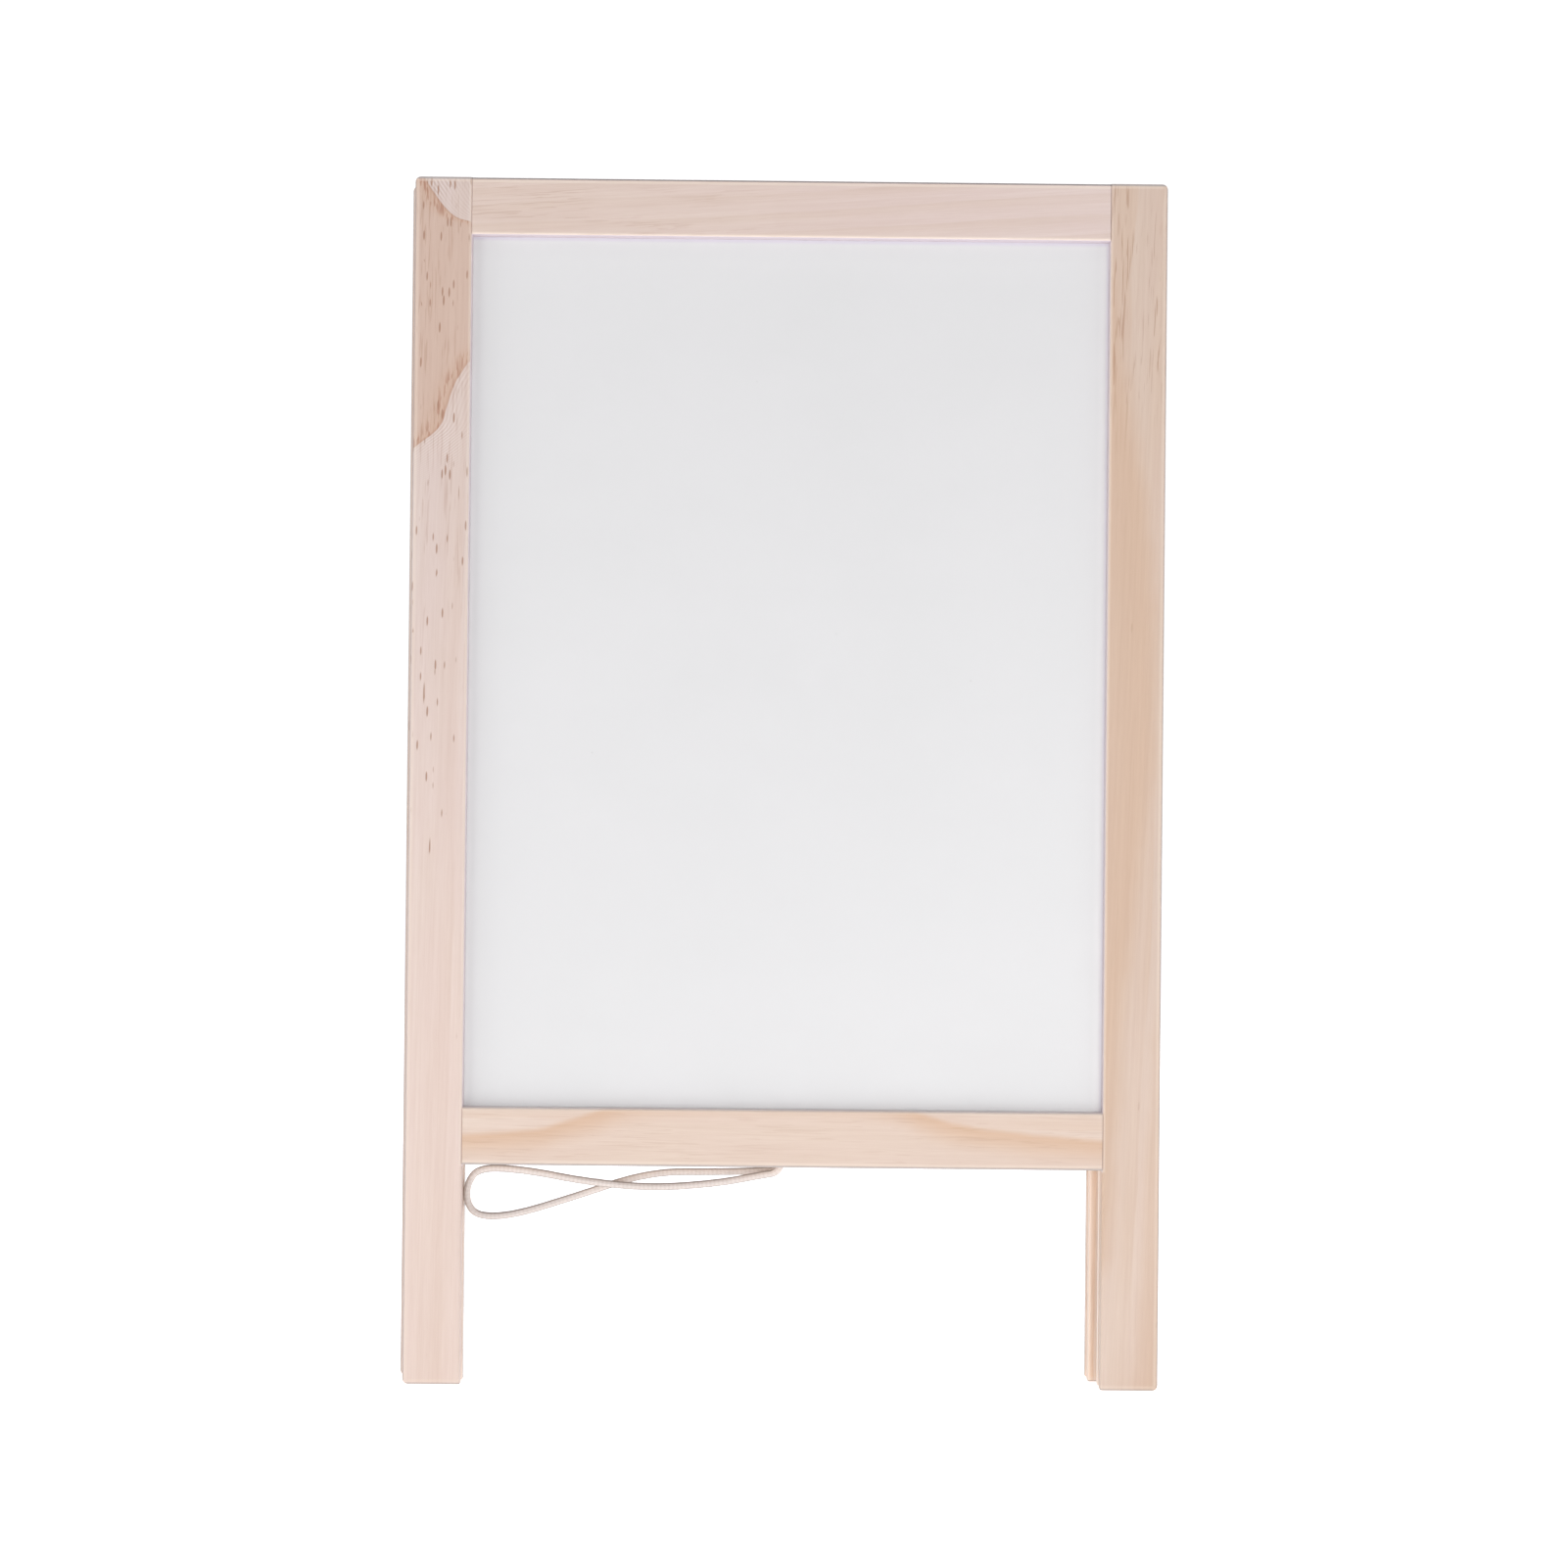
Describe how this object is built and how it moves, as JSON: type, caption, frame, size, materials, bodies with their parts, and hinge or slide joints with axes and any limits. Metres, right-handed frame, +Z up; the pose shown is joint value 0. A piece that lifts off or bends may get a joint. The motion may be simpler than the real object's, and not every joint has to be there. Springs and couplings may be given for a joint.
{
  "type": "folding desk whiteboard easel",
  "caption": "Folding tabletop A-frame easel: two grooved pine frames, each holding a white magnetic board, hinged at the top and held by a stay cord.",
  "frame": {"origin": "on the table, at the middle of the folded easel's footprint, midway between its four feet", "axes": "+Z up; the front board faces -Y; +X to the right as seen from the front; rest pose folded shut"},
  "size_m": [0.2524, 0.026, 0.4021],
  "materials": {
    "pine": "sanded, unfinished",
    "enamelled_steel": "satin white enamel",
    "fibreboard": "smooth pressed fibreboard",
    "hinge_metal": "nickel plated",
    "cord": "round cotton cord"
  },
  "bodies": {
    "front_frame": {"front_left_stile": "pine", "front_right_stile": "pine", "front_top_rail": "pine", "front_bottom_rail": "pine", "front_board_sheet": "enamelled_steel", "front_board_core": "fibreboard", "front_hinge_screws": "hinge_metal", "left_hinge_front_leaf": "hinge_metal", "right_hinge_front_leaf": "hinge_metal", "left_hinge_pin": "hinge_metal", "right_hinge_pin": "hinge_metal", "stay_cord": "cord"},
    "rear_frame": {"rear_left_stile": "pine", "rear_right_stile": "pine", "rear_top_rail": "pine", "rear_bottom_rail": "pine", "rear_board_sheet": "enamelled_steel", "rear_board_core": "fibreboard", "rear_hinge_screws": "hinge_metal", "left_hinge_rear_leaf": "hinge_metal", "right_hinge_rear_leaf": "hinge_metal"}
  },
  "joints": [
    {"name": "fold", "type": "hinge", "parent": "front_frame", "child": "rear_frame", "pos_m": [0, 0, 0.40071], "axis": [1, 0, 0], "range_deg": [0, 38], "deforming": ["stay_cord"]}
  ]
}
